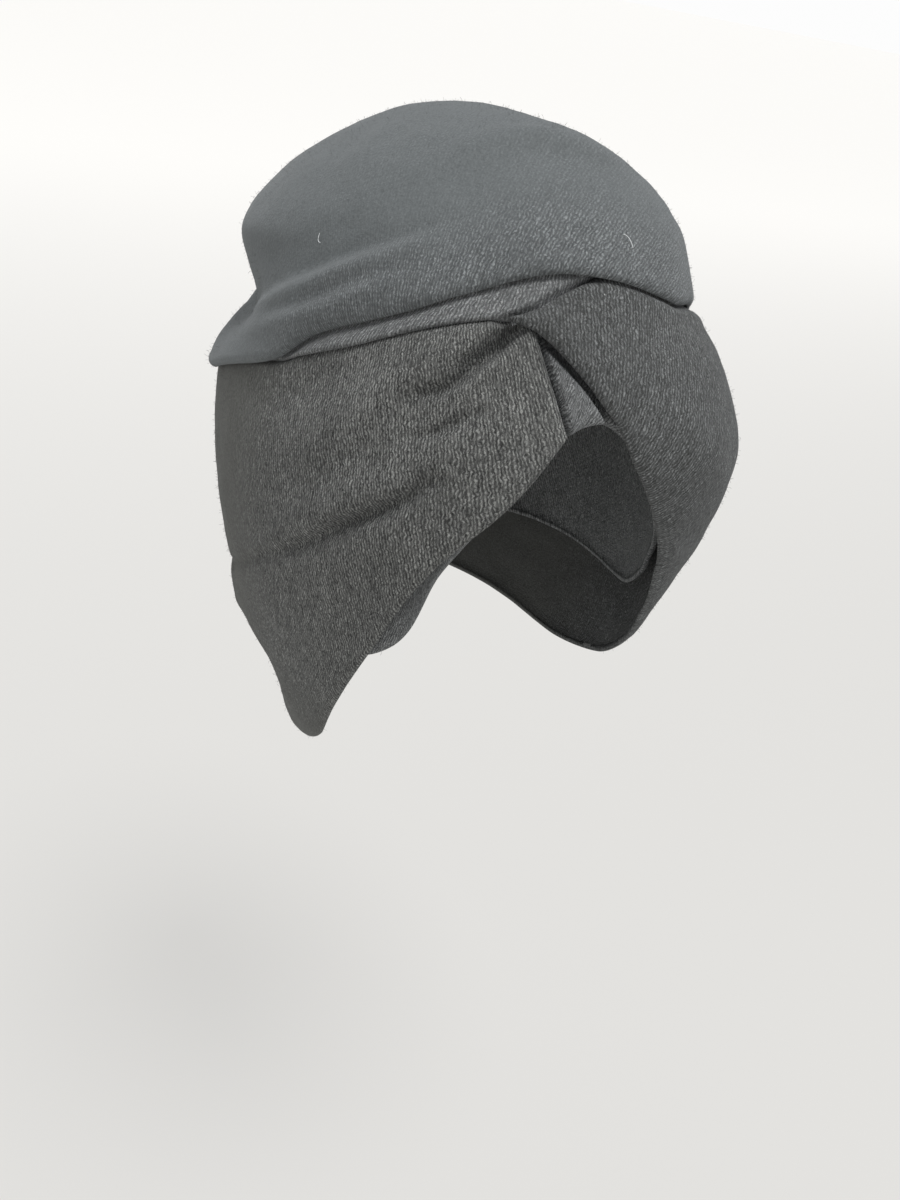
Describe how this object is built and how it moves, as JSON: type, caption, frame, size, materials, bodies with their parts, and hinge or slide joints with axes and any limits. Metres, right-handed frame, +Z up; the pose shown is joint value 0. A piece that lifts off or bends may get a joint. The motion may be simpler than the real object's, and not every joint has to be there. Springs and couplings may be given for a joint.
{
  "type": "turban headwrap",
  "caption": "Pre-formed turban headwrap of soft felted knit: a rounded crown over a fold strip and two wraps that cross at a knot above the brow, open below for the head.",
  "frame": {"origin": "centre of the head that the wrap is worn on, at the height of the brow (mount head_fit)", "axes": "+Z up through the crown, -Y out of the wearer's face, -X towards the wearer's right"},
  "size_m": [0.1715, 0.2052, 0.23],
  "materials": {
    "band_knit": "matte knit, soft and dark",
    "wrap_knit": "matte felted knit with a soft sheen",
    "crown_knit": "matte felted knit with a soft sheen"
  },
  "bodies": {
    "root": {"under_band": "band_knit", "right_wrap": "wrap_knit", "crown_fold": "wrap_knit", "left_wrap": "wrap_knit", "crown": "crown_knit"}
  },
  "joints": []
}
